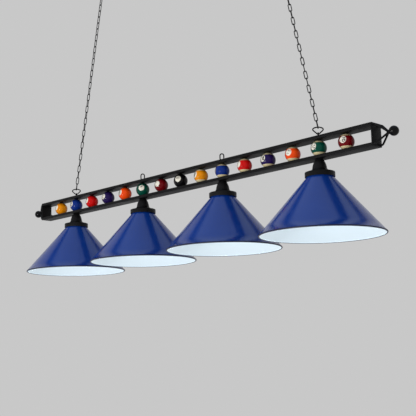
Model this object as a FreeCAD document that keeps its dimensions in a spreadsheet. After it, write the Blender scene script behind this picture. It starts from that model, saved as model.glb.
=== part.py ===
"""A pool table lamp: a bar of two flat rails with a row of pool balls between them, which carries four
conical shades and hangs from two ceiling plates on a pair of chains that lean towards each other.

Frame: millimetres, +Z up, +X along the bar, +Y to the back of the lamp. The origin is on the ceiling,
halfway between the two ceiling plates.
"""
import FreeCAD
import Part
import Sketcher
import math
import os
import re

os.makedirs("parts", exist_ok=True)
doc = FreeCAD.newDocument("PoolTableLamp")
V = FreeCAD.Vector
X_AXIS = V(1, 0, 0)
Y_AXIS = V(0, 1, 0)
Z_AXIS = V(0, 0, 1)
UP = FreeCAD.Rotation()

# ---------------------------------------------------------------- driving dimensions, in millimetres
DIMENSIONS = {
    # bar
    "lamp_pitch": 420.0,
    "bar_half_length": 845.0,
    "rail_width": 47.0,
    "rail_thickness": 10.0,
    "rail_wall": 1.5,
    "end_plate_thickness": 4.0,
    # pool balls
    "ball_diameter": 50.0,
    "ball_bore_radius": 2.6,
    "pin_radius": 2.5,
    "pin_bite": 9.0,
    # shade and its cap
    "shade_rim_radius": 195.0,
    "shade_height": 178.0,
    "shade_neck_radius": 42.0,
    "shade_collar_height": 8.0,
    "shade_steel": 1.2,
    "shade_bore_radius": 20.0,
    "rim_bead_radius": 2.4,
    "cap_radius": 46.5,
    "cap_height": 56.0,
    "cap_rim_height": 16.0,
    "cap_flare_height": 28.0,
    "cap_neck_radius": 22.5,
    "cap_crown_radius": 11.5,
    "cap_steel": 1.5,
    # lampholder, its clamp ring, threaded tube and bulb
    "holder_radius": 19.5,
    "holder_length": 50.0,
    "holder_wall": 2.5,
    "holder_shoulder": 28.0,
    "holder_shoulder_thickness": 3.0,
    "holder_crown_radius": 11.0,
    "holder_crown_height": 30.0,
    "holder_floor_height": 10.0,
    "nipple_radius": 5.0,
    "nipple_bore_radius": 3.6,
    "nipple_bite": 6.0,
    "bulb_base_radius": 13.0,
    "bulb_radius": 30.0,
    "bulb_length": 80.0,
    # eyes and hangers
    "eye_wire_radius": 2.0,
    "hanger_wire_radius": 2.0,
    "hanger_width": 36.0,
    "hanger_height": 26.0,
    "facing_angle": 45.0,
    # chain
    "link_count": 37,
    "link_wire_radius": 1.5,
    "link_inner_length": 24.6,
    "link_outer_width": 12.0,
    "link_gap": 0.1,
    # ceiling plates and hooks
    "plate_half_spacing": 434.0,
    "plate_radius": 25.0,
    "plate_thickness": 3.0,
    "plate_hole_radius": 2.5,
    "plate_hole_offset": 17.0,
    "hook_ring_radius": 11.0,
    "hook_wire_radius": 2.5,
    "hook_centre_depth": 24.0,
    "hook_collar_height": 1.6,
    # end screws
    "screw_radius": 1.75,
    "screw_head_radius": 3.2,
    "screw_head_height": 1.8,
    # finials
    "finial_reach": 59.0,
    "knob_radius": 15.0,
    "strut_radius": 3.0,
    "collar_radius": 6.5,
    # wiring
    "wire_radius": 1.2,
    "bus_half_spacing": 2.2,
}

sheet = doc.addObject("Spreadsheet::Sheet", "Dims")
for row, (alias, size) in enumerate(DIMENSIONS.items(), start=1):
    sheet.set(f"A{row}", alias)
    sheet.set(f"B{row}", str(size))
    sheet.setAlias(f"B{row}", alias)
doc.recompute()


def dim(alias):
    """The value of one cell of the sheet."""
    return float(sheet.get(alias))


def bound(formula):
    """A formula in plain aliases, with the sheet's name in front of each."""
    return re.sub(r"[a-z][a-z_]+", lambda word: "Dims." + word.group(0), formula)


def value(formula):
    """What a formula in plain aliases comes to."""
    return float(sheet.evalExpression(bound(formula)))


# ---------------------------------------------------------------- places worked out from the sheet
LAMP_X = [(n - 1.5) * dim("lamp_pitch") for n in range(4)]
BALL_COUNT = 15
BALL_PITCH = dim("lamp_pitch") / 4
BALL_X = [(n - 7) * BALL_PITCH for n in range(BALL_COUNT)]
OUTER_X = LAMP_X[3]

EYE_NECK = 1.0
LINK_CLEAR = dim("link_inner_length") / 2
LINK_PITCH = dim("link_inner_length") - dim("link_gap")
# the leaning link sits off the lowest point of the ring, so it needs a little more room than its neighbours
HOOK_GAP = 0.25
HOOK_TO_LINK = LINK_CLEAR - dim("hook_wire_radius") - HOOK_GAP
# the right-hand hanger closes the linkage, whose sides part a little as it sways
HANGER_BAR_GAP = 0.5
LINK_TO_HANGER = LINK_CLEAR - dim("hanger_wire_radius") - HANGER_BAR_GAP
CHAIN_LINE = HOOK_TO_LINK + (dim("link_count") - 1) * LINK_PITCH + LINK_TO_HANGER
CHAIN_LEAN = math.asin((OUTER_X - dim("plate_half_spacing")) / CHAIN_LINE)
HOOK_Z = -dim("hook_centre_depth") - dim("hook_ring_radius")
HANGER_BAR_Z = HOOK_Z - CHAIN_LINE * math.cos(CHAIN_LEAN)

# the eye that holds a hanger: a low oval whose hole is just taller than two wires
EYE_HALF_WIDTH = 4.5
EYE_STRAIGHT = 2.0
EYE_LOW_Z = EYE_NECK + dim("eye_wire_radius")
EYE_HOLE_TOP = EYE_LOW_Z + 2 * EYE_HALF_WIDTH + EYE_STRAIGHT - dim("eye_wire_radius")
HANGER_GAP = 0.2
APEX_RISE = EYE_HOLE_TOP - dim("hanger_wire_radius") - HANGER_GAP
HANGER_SPAN = dim("hanger_height") - 2 * dim("hanger_wire_radius")
TOP_Z = HANGER_BAR_Z - HANGER_SPAN - APEX_RISE

RAIL = dim("rail_thickness")
UPPER_RAIL_Z = TOP_Z - RAIL
BALL_Z = UPPER_RAIL_Z - dim("ball_diameter") / 2
LOWER_RAIL_TOP_Z = UPPER_RAIL_Z - dim("ball_diameter")
LOWER_RAIL_Z = LOWER_RAIL_TOP_Z - RAIL
CAP_Z = LOWER_RAIL_Z - dim("cap_height")
RIM_Z = CAP_Z - dim("shade_height")


# ---------------------------------------------------------------- builders
def place(item, x=0.0, y=0.0, z=0.0, turn=UP):
    item.Placement = FreeCAD.Placement(V(x, y, z), turn)
    return item


def set_sizes(item, sizes):
    for name, formula in sizes.items():
        item.setExpression(name, bound(formula))
    return item


def solid(kind, name, sizes, x=0.0, y=0.0, z=0.0, turn=UP):
    """A Part primitive with its sizes bound to the sheet."""
    item = doc.addObject("Part::" + kind, name)
    set_sizes(item, sizes)
    return place(item, x, y, z, turn)


def fuse(name, pieces):
    item = doc.addObject("Part::MultiFuse", name)
    item.Shapes = pieces
    return item


def cut(name, base, tools):
    item = doc.addObject("Part::Cut", name)
    item.Base = base
    item.Tool = tools[0] if len(tools) == 1 else fuse(name + "Tools", tools)
    return item


def group(name, pieces):
    item = doc.addObject("Part::Compound", name)
    item.Links = pieces
    return item


PARTS = []


def part(item, label):
    """Marks an object as a sub-part: its label is its file's name."""
    item.Label = label
    PARTS.append(item)
    return item


def origin_plane(body, role):
    return next(f for f in body.Origin.OriginFeatures if f.Role == role)


def revolved(name, corners):
    """A body turned about Z from a closed outline in the XZ plane.

    Each corner is (radius formula, height formula) or, for an arc that starts at the corner,
    (radius formula, height formula, (radius formula, height formula of a point on the arc)).
    """
    body = doc.addObject("PartDesign::Body", name)
    sketch = body.newObject("Sketcher::SketchObject", name + "Outline")
    sketch.AttachmentSupport = [(origin_plane(body, "XZ_Plane"), "")]
    sketch.MapMode = "FlatFace"
    points = [V(value(c[0]), value(c[1]), 0) for c in corners]
    count = len(corners)
    vertices = []
    for n, corner in enumerate(corners):
        start, end = points[n], points[(n + 1) % count]
        if len(corner) == 3:
            middle = V(value(corner[2][0]), value(corner[2][1]), 0)
            arc, numbers = arc_through(start, middle, end)
            sketch.addGeometry(arc, False)
            vertices.append(numbers)
        else:
            sketch.addGeometry(Part.LineSegment(start, end), False)
            vertices.append((1, 2))
    for n, corner in enumerate(corners):
        first, last = vertices[n]
        following = (n + 1) % count
        joint = Sketcher.Constraint("Coincident", n, last, following, vertices[following][0])
        sketch.addConstraint(joint)
        for kind, formula in (("DistanceX", corner[0]), ("DistanceY", corner[1])):
            number = value(formula)
            if abs(number) < 1e-9:
                on_axis = -2 if kind == "DistanceX" else -1
                sketch.addConstraint(Sketcher.Constraint("PointOnObject", n, first, on_axis))
                continue
            index = sketch.addConstraint(Sketcher.Constraint(kind, -1, 1, n, first, number))
            sketch.setExpression(f"Constraints[{index}]", bound(formula))
        if len(corner) == 3:
            chord = points[following] - points[n]
            centre = sketch.Geometry[n].Center
            steep = abs(chord.y) > abs(chord.x)
            kind, number = ("DistanceX", centre.x) if steep else ("DistanceY", centre.y)
            sketch.addConstraint(Sketcher.Constraint(kind, -1, 1, n, 3, number))
    turned = body.newObject("PartDesign::Revolution", name + "Turned")
    turned.Profile = sketch
    turned.ReferenceAxis = (sketch, ["V_Axis"])
    turned.Angle = 360
    body.Tip = turned
    return body


def arc_through(start, middle, end):
    """An arc for a sketch, which runs anticlockwise there, and the numbers of its ends as (start, end)."""
    circle = Part.Arc(start, middle, end).toShape().Curve
    centre = circle.Center
    angles = [math.atan2(p.y - centre.y, p.x - centre.x) for p in (start, middle, end)]
    turn = 2 * math.pi
    forward = (angles[1] - angles[0]) % turn < (angles[2] - angles[0]) % turn
    low, high = (angles[0], angles[2]) if forward else (angles[2], angles[0])
    if high < low:
        high += turn
    whole = Part.Circle(centre, Z_AXIS, circle.Radius)
    return Part.ArcOfCircle(whole, low, high), (1, 2) if forward else (2, 1)


def oval_loop(name, half_width, straight, wire):
    """A closed oval of round wire in the XZ plane, centred on the origin, with its long axis along Z.

    half_width is from the centre to the middle of the wire, and straight the length of each side.
    """
    flat = FreeCAD.Rotation(X_AXIS, 90)
    pieces = []
    for side, turn in ((1, 0), (-1, 180)):
        bend = solid("Torus", f"{name}Bend{side + 1}", {"Radius1": half_width, "Radius2": wire})
        bend.Angle3 = 180
        place(bend, z=side * value(straight) / 2, turn=FreeCAD.Rotation(Y_AXIS, turn).multiply(flat))
        rod = solid("Cylinder", f"{name}Side{side + 1}", {"Radius": wire, "Height": straight})
        place(rod, x=side * value(half_width), z=-value(straight) / 2)
        pieces += [bend, rod]
    return fuse(name, pieces)


def feature(name, shape, x=0.0, y=0.0, z=0.0, turn=UP):
    """A sub-part that is many copies of one shape, or a bent wire: its shape is worked out here."""
    item = doc.addObject("Part::Feature", name)
    item.Shape = shape
    return place(item, x, y, z, turn)


def bar_between(name, start, end, radius):
    """A round bar from one point to another."""
    along = end - start
    turn = FreeCAD.Rotation(Z_AXIS, along)
    rod = solid("Cylinder", name, {"Radius": radius}, start.x, start.y, start.z, turn)
    rod.Height = along.Length
    return rod


# ---------------------------------------------------------------- bar: rails, end plates and screws
RAIL_LENGTH = "2 * bar_half_length - 2 * end_plate_thickness"
RAIL_END_X = dim("bar_half_length") - dim("end_plate_thickness")
END_SCREW_LENGTH = 14.0
END_SCREW_Y = 9.0
END_BLOCK_LENGTH = 16.0


def rail_box(name, z):
    sizes = {"Length": RAIL_LENGTH, "Width": "rail_width", "Height": "rail_thickness"}
    return solid("Box", name, sizes, -RAIL_END_X, -dim("rail_width") / 2, z)


def hollow_box(name, z):
    """The space inside the lower rail, short of the solid blocks at its ends."""
    sizes = {
        "Length": RAIL_LENGTH,
        "Width": "rail_width - 2 * rail_wall",
        "Height": "rail_thickness - 2 * rail_wall",
    }
    wall = dim("rail_wall")
    item = solid("Box", name, sizes, -RAIL_END_X + END_BLOCK_LENGTH, -dim("rail_width") / 2 + wall, z + wall)
    item.setExpression("Length", bound(RAIL_LENGTH) + f" - {2 * END_BLOCK_LENGTH}")
    return item


def end_holes(name, z):
    """Screw holes into both ends of a rail."""
    holes = []
    for side in (-1, 1):
        for y in (-END_SCREW_Y, END_SCREW_Y):
            start = V(side * (RAIL_END_X - END_SCREW_LENGTH), y, z + RAIL / 2)
            end = V(side * (RAIL_END_X + 1), y, z + RAIL / 2)
            holes.append(bar_between(f"{name}{side + 1}{int(y) + 20}", start, end, "screw_radius"))
    return holes


def upright_holes(name, places, radius, z, depth):
    holes = []
    for n, x in enumerate(places):
        hole = solid("Cylinder", f"{name}{n}", {"Radius": radius}, x, 0, z)
        hole.Height = depth
        holes.append(hole)
    return holes


def make_bar():
    through = upright_holes("TopPinHole", BALL_X, "pin_radius", UPPER_RAIL_Z - 1, RAIL + 2)
    top = cut("TopRail", rail_box("TopRailBar", UPPER_RAIL_Z), through + end_holes("TopEnd", UPPER_RAIL_Z))
    part(top, "top_rail")

    tools = [hollow_box("LowerRailHollow", LOWER_RAIL_Z)]
    wall = dim("rail_wall")
    tools += upright_holes("LowPinHole", BALL_X, "pin_radius", LOWER_RAIL_TOP_Z - wall - 1, wall + 2)
    tools += upright_holes("NippleHole", LAMP_X, "nipple_radius", LOWER_RAIL_Z - 1, wall + 2)
    grip_low = LOWER_RAIL_TOP_Z - wall - 1
    tools += upright_holes("GripHole", [GRIP_X], str(GRIP_STEM_RADIUS), grip_low, wall + 2)
    tools += end_holes("LowEnd", LOWER_RAIL_Z)
    part(cut("LowerRail", rail_box("LowerRailBar", LOWER_RAIL_Z), tools), "bottom_rail")

    for side, label in ((-1, "end_plate_left"), (1, "end_plate_right")):
        make_end_plate(side, label)
    make_end_screws()


def make_end_plate(side, label):
    """A flat plate over the ends of both rails, with four screw holes and four strut holes."""
    sizes = {
        "Length": "end_plate_thickness",
        "Width": "rail_width",
        "Height": "2 * rail_thickness + ball_diameter",
    }
    low_x = min(side * RAIL_END_X, side * dim("bar_half_length"))
    plate = solid("Box", f"Plate{side + 1}", sizes, low_x, -dim("rail_width") / 2, LOWER_RAIL_Z)
    holes = []
    for n, (y, z) in enumerate(screw_places()):
        start = V(low_x - 1, y, z)
        end = V(low_x + dim("end_plate_thickness") + 1, y, z)
        holes.append(bar_between(f"PlateHole{side + 1}{n}", start, end, "screw_radius"))
    for n, foot in enumerate(strut_feet(side)):
        inner = V(low_x - 1, foot.y, foot.z)
        outer = V(low_x + dim("end_plate_thickness") + 1, foot.y, foot.z)
        holes.append(bar_between(f"StrutHole{side + 1}{n}", inner, outer, "strut_radius"))
    part(cut(f"EndPlate{side + 1}", plate, holes), label)


def screw_places():
    return [(y, z + RAIL / 2) for z in (LOWER_RAIL_Z, UPPER_RAIL_Z) for y in (-END_SCREW_Y, END_SCREW_Y)]


def make_end_screws():
    """Screws that hold the end plates to the rails, with low round heads."""
    screws = []
    for side in (-1, 1):
        face = side * dim("bar_half_length")
        for n, (y, z) in enumerate(screw_places()):
            tip = V(face - side * (dim("end_plate_thickness") + END_SCREW_LENGTH - 1), y, z)
            head_low = V(face, y, z)
            head_top = V(face + side * dim("screw_head_height"), y, z)
            shank = bar_between(f"EndShank{side + 1}{n}", tip, head_low, "screw_radius")
            head = bar_between(f"EndHead{side + 1}{n}", head_low, head_top, "screw_head_radius")
            screws.append(fuse(f"EndScrew{side + 1}{n}", [shank, head]))
    part(group("EndScrews", screws), "end_plate_screws")


# ---------------------------------------------------------------- pool balls and the pins they stand on
def make_balls():
    for n, x in enumerate(BALL_X, start=1):
        sphere = solid("Sphere", f"Sphere{n}", {"Radius": "ball_diameter / 2"}, x, 0, BALL_Z)
        bore = solid(
            "Cylinder",
            f"Bore{n}",
            {"Radius": "ball_bore_radius", "Height": "ball_diameter + 2"},
            x,
            0,
            LOWER_RAIL_TOP_Z - 1,
        )
        part(cut(f"Ball{n}", sphere, [bore]), f"ball_{n:02d}")


def make_ball_pins():
    """A pin up into each ball from the lower rail, and down into it from the upper rail.

    Over the lamps the shank of an eye takes the place of the upper pin.
    """
    pins = []
    bite = dim("pin_bite")
    for n, x in enumerate(BALL_X):
        low_z = LOWER_RAIL_TOP_Z - dim("rail_wall")
        low = solid("Cylinder", f"LowPin{n}", {"Radius": "pin_radius"}, x, 0, low_z)
        low.Height = dim("rail_wall") + bite
        pins.append(low)
        if any(abs(x - lamp) < 1 for lamp in LAMP_X):
            continue
        high = solid("Cylinder", f"HighPin{n}", {"Radius": "pin_radius"}, x, 0, UPPER_RAIL_Z - bite)
        high.Height = RAIL + bite
        pins.append(high)
    part(group("BallPins", pins), "ball_pins")


# ---------------------------------------------------------------- eyes and hangers on the upper rail
FREE_EYE_HALF_WIDTH = 6.5
FREE_EYE_STRAIGHT = 9.0


def make_eye(label, x, half_width, straight, angle):
    """An oval wire eye on a shank that goes down through the upper rail into the ball below."""
    low_z = TOP_Z + EYE_NECK + dim("eye_wire_radius")
    centre_z = low_z + half_width + straight / 2
    loop = oval_loop(label + "_loop", str(half_width), str(straight), "eye_wire_radius")
    shank_length = RAIL + dim("pin_bite") + EYE_NECK + dim("eye_wire_radius")
    shank = solid("Cylinder", label + "_shank", {"Radius": "pin_radius"})
    shank.Height = shank_length
    place(shank, z=UPPER_RAIL_Z - dim("pin_bite") - centre_z)
    eye = fuse(label + "_eye", [loop, shank])
    place(eye, x, 0, centre_z, FreeCAD.Rotation(Z_AXIS, angle))
    part(eye, label)


def make_hanger(label, x):
    """A closed wire triangle, apex down, with rounded corners and a bowed top bar."""
    half = dim("hanger_width") / 2 - dim("hanger_wire_radius")
    corner = 4.5
    apex = 5.5
    bar_radius = 30.0
    top = HANGER_SPAN
    bar_centre = V(0, top - bar_radius)
    leg_x = half - corner
    leg = V(leg_x, bar_centre.y + math.sqrt((bar_radius - corner) ** 2 - leg_x**2))
    apex_centre = V(0, apex)
    # the side is the outer tangent from the apex circle to the corner circle
    gap = leg - apex_centre
    slope = math.atan2(gap.y, gap.x) - math.asin((corner - apex) / gap.Length)
    out = V(math.sin(slope), -math.cos(slope))
    to_bar = leg - bar_centre
    to_bar.normalize()
    between = out + to_bar
    between.normalize()
    right_low = apex_centre + out * apex
    right_high = leg + out * corner
    right_mid = leg + between * corner
    right_top = leg + to_bar * corner
    left_low, left_high, left_mid, left_top = [
        V(-p.x, p.y) for p in (right_low, right_high, right_mid, right_top)
    ]
    edges = [
        Part.LineSegment(upright(right_low), upright(right_high)),
        Part.Arc(upright(right_high), upright(right_mid), upright(right_top)),
        Part.Arc(upright(right_top), upright(V(0, top)), upright(left_top)),
        Part.Arc(upright(left_top), upright(left_mid), upright(left_high)),
        Part.LineSegment(upright(left_high), upright(left_low)),
        Part.Arc(upright(left_low), upright(V(0, 0)), upright(right_low)),
    ]
    path = Part.Wire([edge.toShape() for edge in edges])
    start = upright(right_low)
    circle = Part.Circle(start, upright(right_high) - start, dim("hanger_wire_radius"))
    shape = path.makePipeShell([Part.Wire([circle.toShape()])], True, False, 1)
    turn = FreeCAD.Rotation(Z_AXIS, dim("facing_angle"))
    part(feature(label, shape, x, 0, TOP_Z + APEX_RISE, turn), label)


def upright(point):
    """A point of the flat outline, stood up in the XZ plane."""
    return V(point.x, 0, point.y)


# ---------------------------------------------------------------- chains, ceiling plates and hooks
def link_template():
    wire = dim("link_wire_radius")
    half_width = dim("link_outer_width") / 2 - wire
    straight = dim("link_inner_length") + 2 * wire - 2 * half_width
    return oval_loop("Link", str(half_width), str(straight), "link_wire_radius")


def make_chain(side, link, name):
    """The links of one chain, from the hook down to the hanger, as separate closed loops.

    Neighbours are a quarter turn apart, and the whole chain twists by the hangers' angle on its way
    down. The top link is a sub-part of its own, because it rocks on the hook while the rest sways on it.
    """
    count = int(dim("link_count"))
    lean = FreeCAD.Rotation(Y_AXIS, -side * math.degrees(CHAIN_LEAN))
    down = V(side * math.sin(CHAIN_LEAN), 0, -math.cos(CHAIN_LEAN))
    hook = V(side * dim("plate_half_spacing"), 0, HOOK_Z)
    links = []
    for n in range(count):
        twist = 90 * (n + 1) + dim("facing_angle") * n / (count - 1)
        centre = hook + down * (HOOK_TO_LINK + n * LINK_PITCH)
        copy = link.Shape.copy()
        copy.Placement = FreeCAD.Placement(centre, lean.multiply(FreeCAD.Rotation(Z_AXIS, twist)))
        links.append(copy)
    part(feature(f"TopLink{name}", Part.makeCompound(links[:1])), f"top_link_{name}")
    part(feature(f"Chain{name}", Part.makeCompound(links[1:])), f"chain_{name}")


def make_ceiling_set(side, name):
    x = side * dim("plate_half_spacing")
    sizes = {"Radius": "plate_radius", "Height": "plate_thickness"}
    disc = solid("Cylinder", f"Disc{name}", sizes, x, 0, -dim("plate_thickness"))
    holes = []
    for n, y in enumerate((-dim("plate_hole_offset"), dim("plate_hole_offset"))):
        sizes = {"Radius": "plate_hole_radius", "Height": "plate_thickness + 2"}
        holes.append(solid("Cylinder", f"PlateScrew{name}{n}", sizes, x, y, -dim("plate_thickness") - 1))
    sizes = {"Radius": "hook_wire_radius", "Height": "plate_thickness + 2"}
    holes.append(solid("Cylinder", f"HookHole{name}", sizes, x, 0, -dim("plate_thickness") - 1))
    part(cut(f"CeilingPlate{name}", disc, holes), f"ceiling_plate_{name}")

    ring = solid("Torus", f"HookRing{name}", {"Radius1": "hook_ring_radius", "Radius2": "hook_wire_radius"})
    place(ring, x, 0, -dim("hook_centre_depth"), FreeCAD.Rotation(X_AXIS, 90))
    shank_low = -dim("hook_centre_depth") + dim("hook_ring_radius")
    shank = solid("Cylinder", f"HookShank{name}", {"Radius": "hook_wire_radius"}, x, 0, shank_low)
    shank.Height = -shank_low
    sizes = {"Radius": "2 * hook_wire_radius", "Height": "hook_collar_height"}
    collar_z = -dim("plate_thickness") - dim("hook_collar_height")
    collar = solid("Cylinder", f"HookCollar{name}", sizes, x, 0, collar_z)
    part(fuse(f"CeilingHook{name}", [ring, shank, collar]), f"ceiling_hook_{name}")


# ---------------------------------------------------------------- finials at the ends of the bar
STRUT_INSET = 5.0


def strut_feet(side):
    """Where the four struts of a finial stand on the end plate's outer face."""
    y = dim("rail_width") / 2 - STRUT_INSET
    low = LOWER_RAIL_Z + STRUT_INSET
    high = TOP_Z - STRUT_INSET
    face = side * dim("bar_half_length")
    return [V(face, sy * y, z) for sy in (-1, 1) for z in (low, high)]


def make_finial(side, name):
    """Four bent struts that draw together into a collar, and the ball knob on it."""
    face = side * dim("bar_half_length")
    knob_x = face + side * dim("finial_reach")
    middle = (TOP_Z + LOWER_RAIL_Z) / 2
    collar_inner = knob_x - side * (dim("knob_radius") + 7)
    collar_outer = knob_x - side * (dim("knob_radius") - 1)
    pieces = []
    for n, foot in enumerate(strut_feet(side)):
        inward = V(0, foot.y, foot.z - middle)
        tip = V(collar_inner, 0, middle) + inward * (3.4 / inward.Length)
        elbow = V(face + side * 7, foot.y * 0.93, middle + (foot.z - middle) * 0.93)
        root = V(face - side * dim("end_plate_thickness"), foot.y, foot.z)
        stub = bar_between(f"StrutRoot{name}{n}", root, foot, "strut_radius")
        pieces.append(fuse(f"Strut{name}{n}", [stub, *elbowed(f"Strut{name}{n}", [foot, elbow, tip])]))
    collar_ends = (V(collar_inner, 0, middle), V(collar_outer, 0, middle))
    collar = bar_between(f"Collar{name}", *collar_ends, "collar_radius")
    cage = fuse(f"FinialCage{name}", pieces + [collar])
    part(cage, f"finial_cage_{name}")

    sphere = solid("Sphere", f"KnobBall{name}", {"Radius": "knob_radius"}, knob_x, 0, middle)
    seat = bar_between(f"KnobSeat{name}", *collar_ends, "collar_radius")
    part(cut(f"Knob{name}", sphere, [seat]), f"finial_knob_{name}")


def elbowed(name, points):
    """Round bars from point to point, with a ball at each bend."""
    pieces = []
    for n, (start, end) in enumerate(zip(points, points[1:])):
        pieces.append(bar_between(f"{name}Run{n}", start, end, "strut_radius"))
        pieces.append(
            solid("Sphere", f"{name}Bend{n}", {"Radius": "strut_radius"}, start.x, start.y, start.z)
        )
    return pieces


# ---------------------------------------------------------------- lamps: cap, shade, holder, ring, bulb
# Heights in these outlines are above the shade's rim.
HOLDER_LOW = "shade_height + shade_collar_height + shade_steel + 14 - holder_length"


def cap_outline():
    """A bell: a vertical rim, a hollow flare up to the neck, and a dome that narrows to the rail."""
    rim_top = "shade_height + cap_rim_height"
    neck = "shade_height + cap_flare_height"
    crown = "shade_height + cap_height"
    flare_middle = ("cap_neck_radius + 7.5", rim_top + " + 4.5")
    flare_inside = ("cap_neck_radius + 6.6", rim_top + " + 3.3")
    dome_middle = ("cap_neck_radius - 3.5", neck + " + 14.5")
    dome_inside = ("cap_neck_radius - 5", neck + " + 14")
    return [
        ("cap_radius - cap_steel", "shade_height"),
        ("cap_radius", "shade_height"),
        ("cap_radius", rim_top + " - 2", ("cap_radius - 0.6", rim_top + " - 0.6")),
        ("cap_radius - 2", rim_top, flare_middle),
        ("cap_neck_radius", neck, dome_middle),
        ("cap_crown_radius", crown),
        ("nipple_radius", crown),
        ("nipple_radius", crown + " - cap_steel"),
        ("cap_crown_radius - 1", crown + " - cap_steel", dome_inside),
        ("cap_neck_radius - cap_steel", neck + " - 0.3", flare_inside),
        ("cap_radius - 3", rim_top + " - cap_steel"),
        ("cap_radius - cap_steel", rim_top + " - 3"),
    ]


def shade_outline():
    """A cone of sheet steel with a beaded rim, and a short collar with a flat top that the ring clamps."""
    collar_top = "shade_height + shade_collar_height"
    return [
        ("shade_rim_radius - rim_bead_radius", "0", ("shade_rim_radius", "rim_bead_radius")),
        ("shade_rim_radius - rim_bead_radius", "2 * rim_bead_radius"),
        ("shade_neck_radius", "shade_height"),
        ("shade_neck_radius", collar_top + " + shade_steel"),
        ("shade_bore_radius", collar_top + " + shade_steel"),
        ("shade_bore_radius", collar_top),
        ("shade_neck_radius - shade_steel", collar_top),
        ("shade_neck_radius - shade_steel", "shade_height - 1"),
        ("shade_rim_radius - rim_bead_radius - 2.6", "2 * rim_bead_radius - 0.4"),
        (
            "shade_rim_radius - rim_bead_radius - 2.2",
            "rim_bead_radius - 0.4",
            ("shade_rim_radius - rim_bead_radius - 1.5", "0.9"),
        ),
    ]


def holder_outline():
    """A cup that takes the bulb's screw base from below, with a shoulder that rests on the shade."""
    low = HOLDER_LOW
    seat = "shade_height + shade_collar_height + shade_steel"
    crown = seat + " + holder_crown_height"
    return [
        ("holder_radius - holder_wall", low),
        ("holder_radius", low),
        ("holder_radius", seat),
        ("holder_shoulder", seat),
        ("holder_shoulder", seat + " + holder_shoulder_thickness"),
        ("holder_radius - 2", seat + " + 14"),
        ("holder_crown_radius", crown + " - 8"),
        ("holder_crown_radius", crown),
        ("nipple_radius", crown),
        ("nipple_radius", crown + " - nipple_bite"),
        ("nipple_bore_radius", crown + " - nipple_bite"),
        ("nipple_bore_radius", seat + " + holder_floor_height"),
        ("bulb_base_radius + 0.3", seat + " + holder_floor_height"),
        ("bulb_base_radius + 0.3", low + " + 12"),
        ("holder_radius - holder_wall", low + " + 12"),
    ]


def bulb_outline():
    """A screw base with a contact at its top, and a pear-shaped glass that widens to a round end."""
    base_low = HOLDER_LOW + " + 4"
    base_top = "shade_height + shade_collar_height + shade_steel + 9"
    tip = HOLDER_LOW + " + 4 - bulb_length"
    return [
        ("0", tip, ("bulb_radius * 0.7071", tip + " + bulb_radius * 0.2929")),
        ("bulb_radius", tip + " + bulb_radius", ("bulb_radius * 0.93", tip + " + bulb_radius * 1.45")),
        ("bulb_radius * 0.76", tip + " + bulb_radius * 1.85"),
        ("bulb_base_radius + 1.5", base_low + " - 8"),
        ("bulb_base_radius + 1.5", base_low),
        ("bulb_base_radius", base_low),
        ("bulb_base_radius", base_top + " - 5"),
        ("6", base_top + " - 1.5"),
        ("4.5", base_top),
        ("0", base_top),
    ]


def ring_outline():
    """The threaded ring that clamps the shade's collar up against the holder's shoulder."""
    top = "shade_height + shade_collar_height"
    return [
        ("holder_radius", top + " - 5"),
        ("holder_shoulder", top + " - 5"),
        ("holder_shoulder", top),
        ("holder_radius", top),
    ]


def nipple_outline():
    """A threaded tube from the holder's top, through the cap, to just inside the lower rail."""
    low = "shade_height + shade_collar_height + shade_steel + holder_crown_height - nipple_bite"
    high = "shade_height + cap_height + rail_wall + 1.5"
    return [
        ("nipple_bore_radius", low),
        ("nipple_radius", low),
        ("nipple_radius", high),
        ("nipple_bore_radius", high),
    ]


def make_lamps():
    rings = []
    nipples = []
    for n, x in enumerate(LAMP_X, start=1):
        for label, outline in (
            ("shade_cap", cap_outline()),
            ("shade", shade_outline()),
            ("lampholder", holder_outline()),
            ("bulb", bulb_outline()),
        ):
            body = revolved(f"{label}_{n}_body", outline)
            part(place(body, x, 0, RIM_Z), f"{label}_{n}")
        rings.append(place(revolved(f"ShadeRing{n}", ring_outline()), x, 0, RIM_Z))
        nipples.append(place(revolved(f"Nipple{n}", nipple_outline()), x, 0, RIM_Z))
    part(group("ShadeRings", rings), "shade_rings")
    part(group("Nipples", nipples), "threaded_nipples")


# ---------------------------------------------------------------- wiring inside the lower rail
GRIP_X = -dim("bar_half_length") + 38
GRIP_STEM_RADIUS = 4.0
GRIP_BORE_RADIUS = 2.6
GRIP_FLANGE_RADIUS = 6.0
GRIP_FLANGE_HEIGHT = 2.5
GRIP_CONE_HEIGHT = 7.0


def make_wiring():
    """A pair of long leads inside the lower rail, and a pair that drops from them into each holder."""
    radius = dim("wire_radius")
    spacing = dim("bus_half_spacing")
    bus_z = LOWER_RAIL_Z + RAIL / 2 + 0.8
    leads = []
    drops = []
    for side in (-1, 1):
        start = V(GRIP_X - 4, side * spacing, bus_z)
        end = V(LAMP_X[3] + 6, side * spacing, bus_z)
        leads.append(bar_between(f"Lead{side + 1}", start, end, "wire_radius"))
        for n, x in enumerate(LAMP_X):
            top = V(x, side * 1.8, bus_z - radius - 0.05)
            low = V(x, side * 1.8, RIM_Z + value(HOLDER_LOW + " + holder_length - 3"))
            drops.append(bar_between(f"Drop{side + 1}{n}", low, top, "wire_radius"))
    part(group("Leads", leads), "rail_leads")
    part(group("Drops", drops), "lamp_leads")


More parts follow.
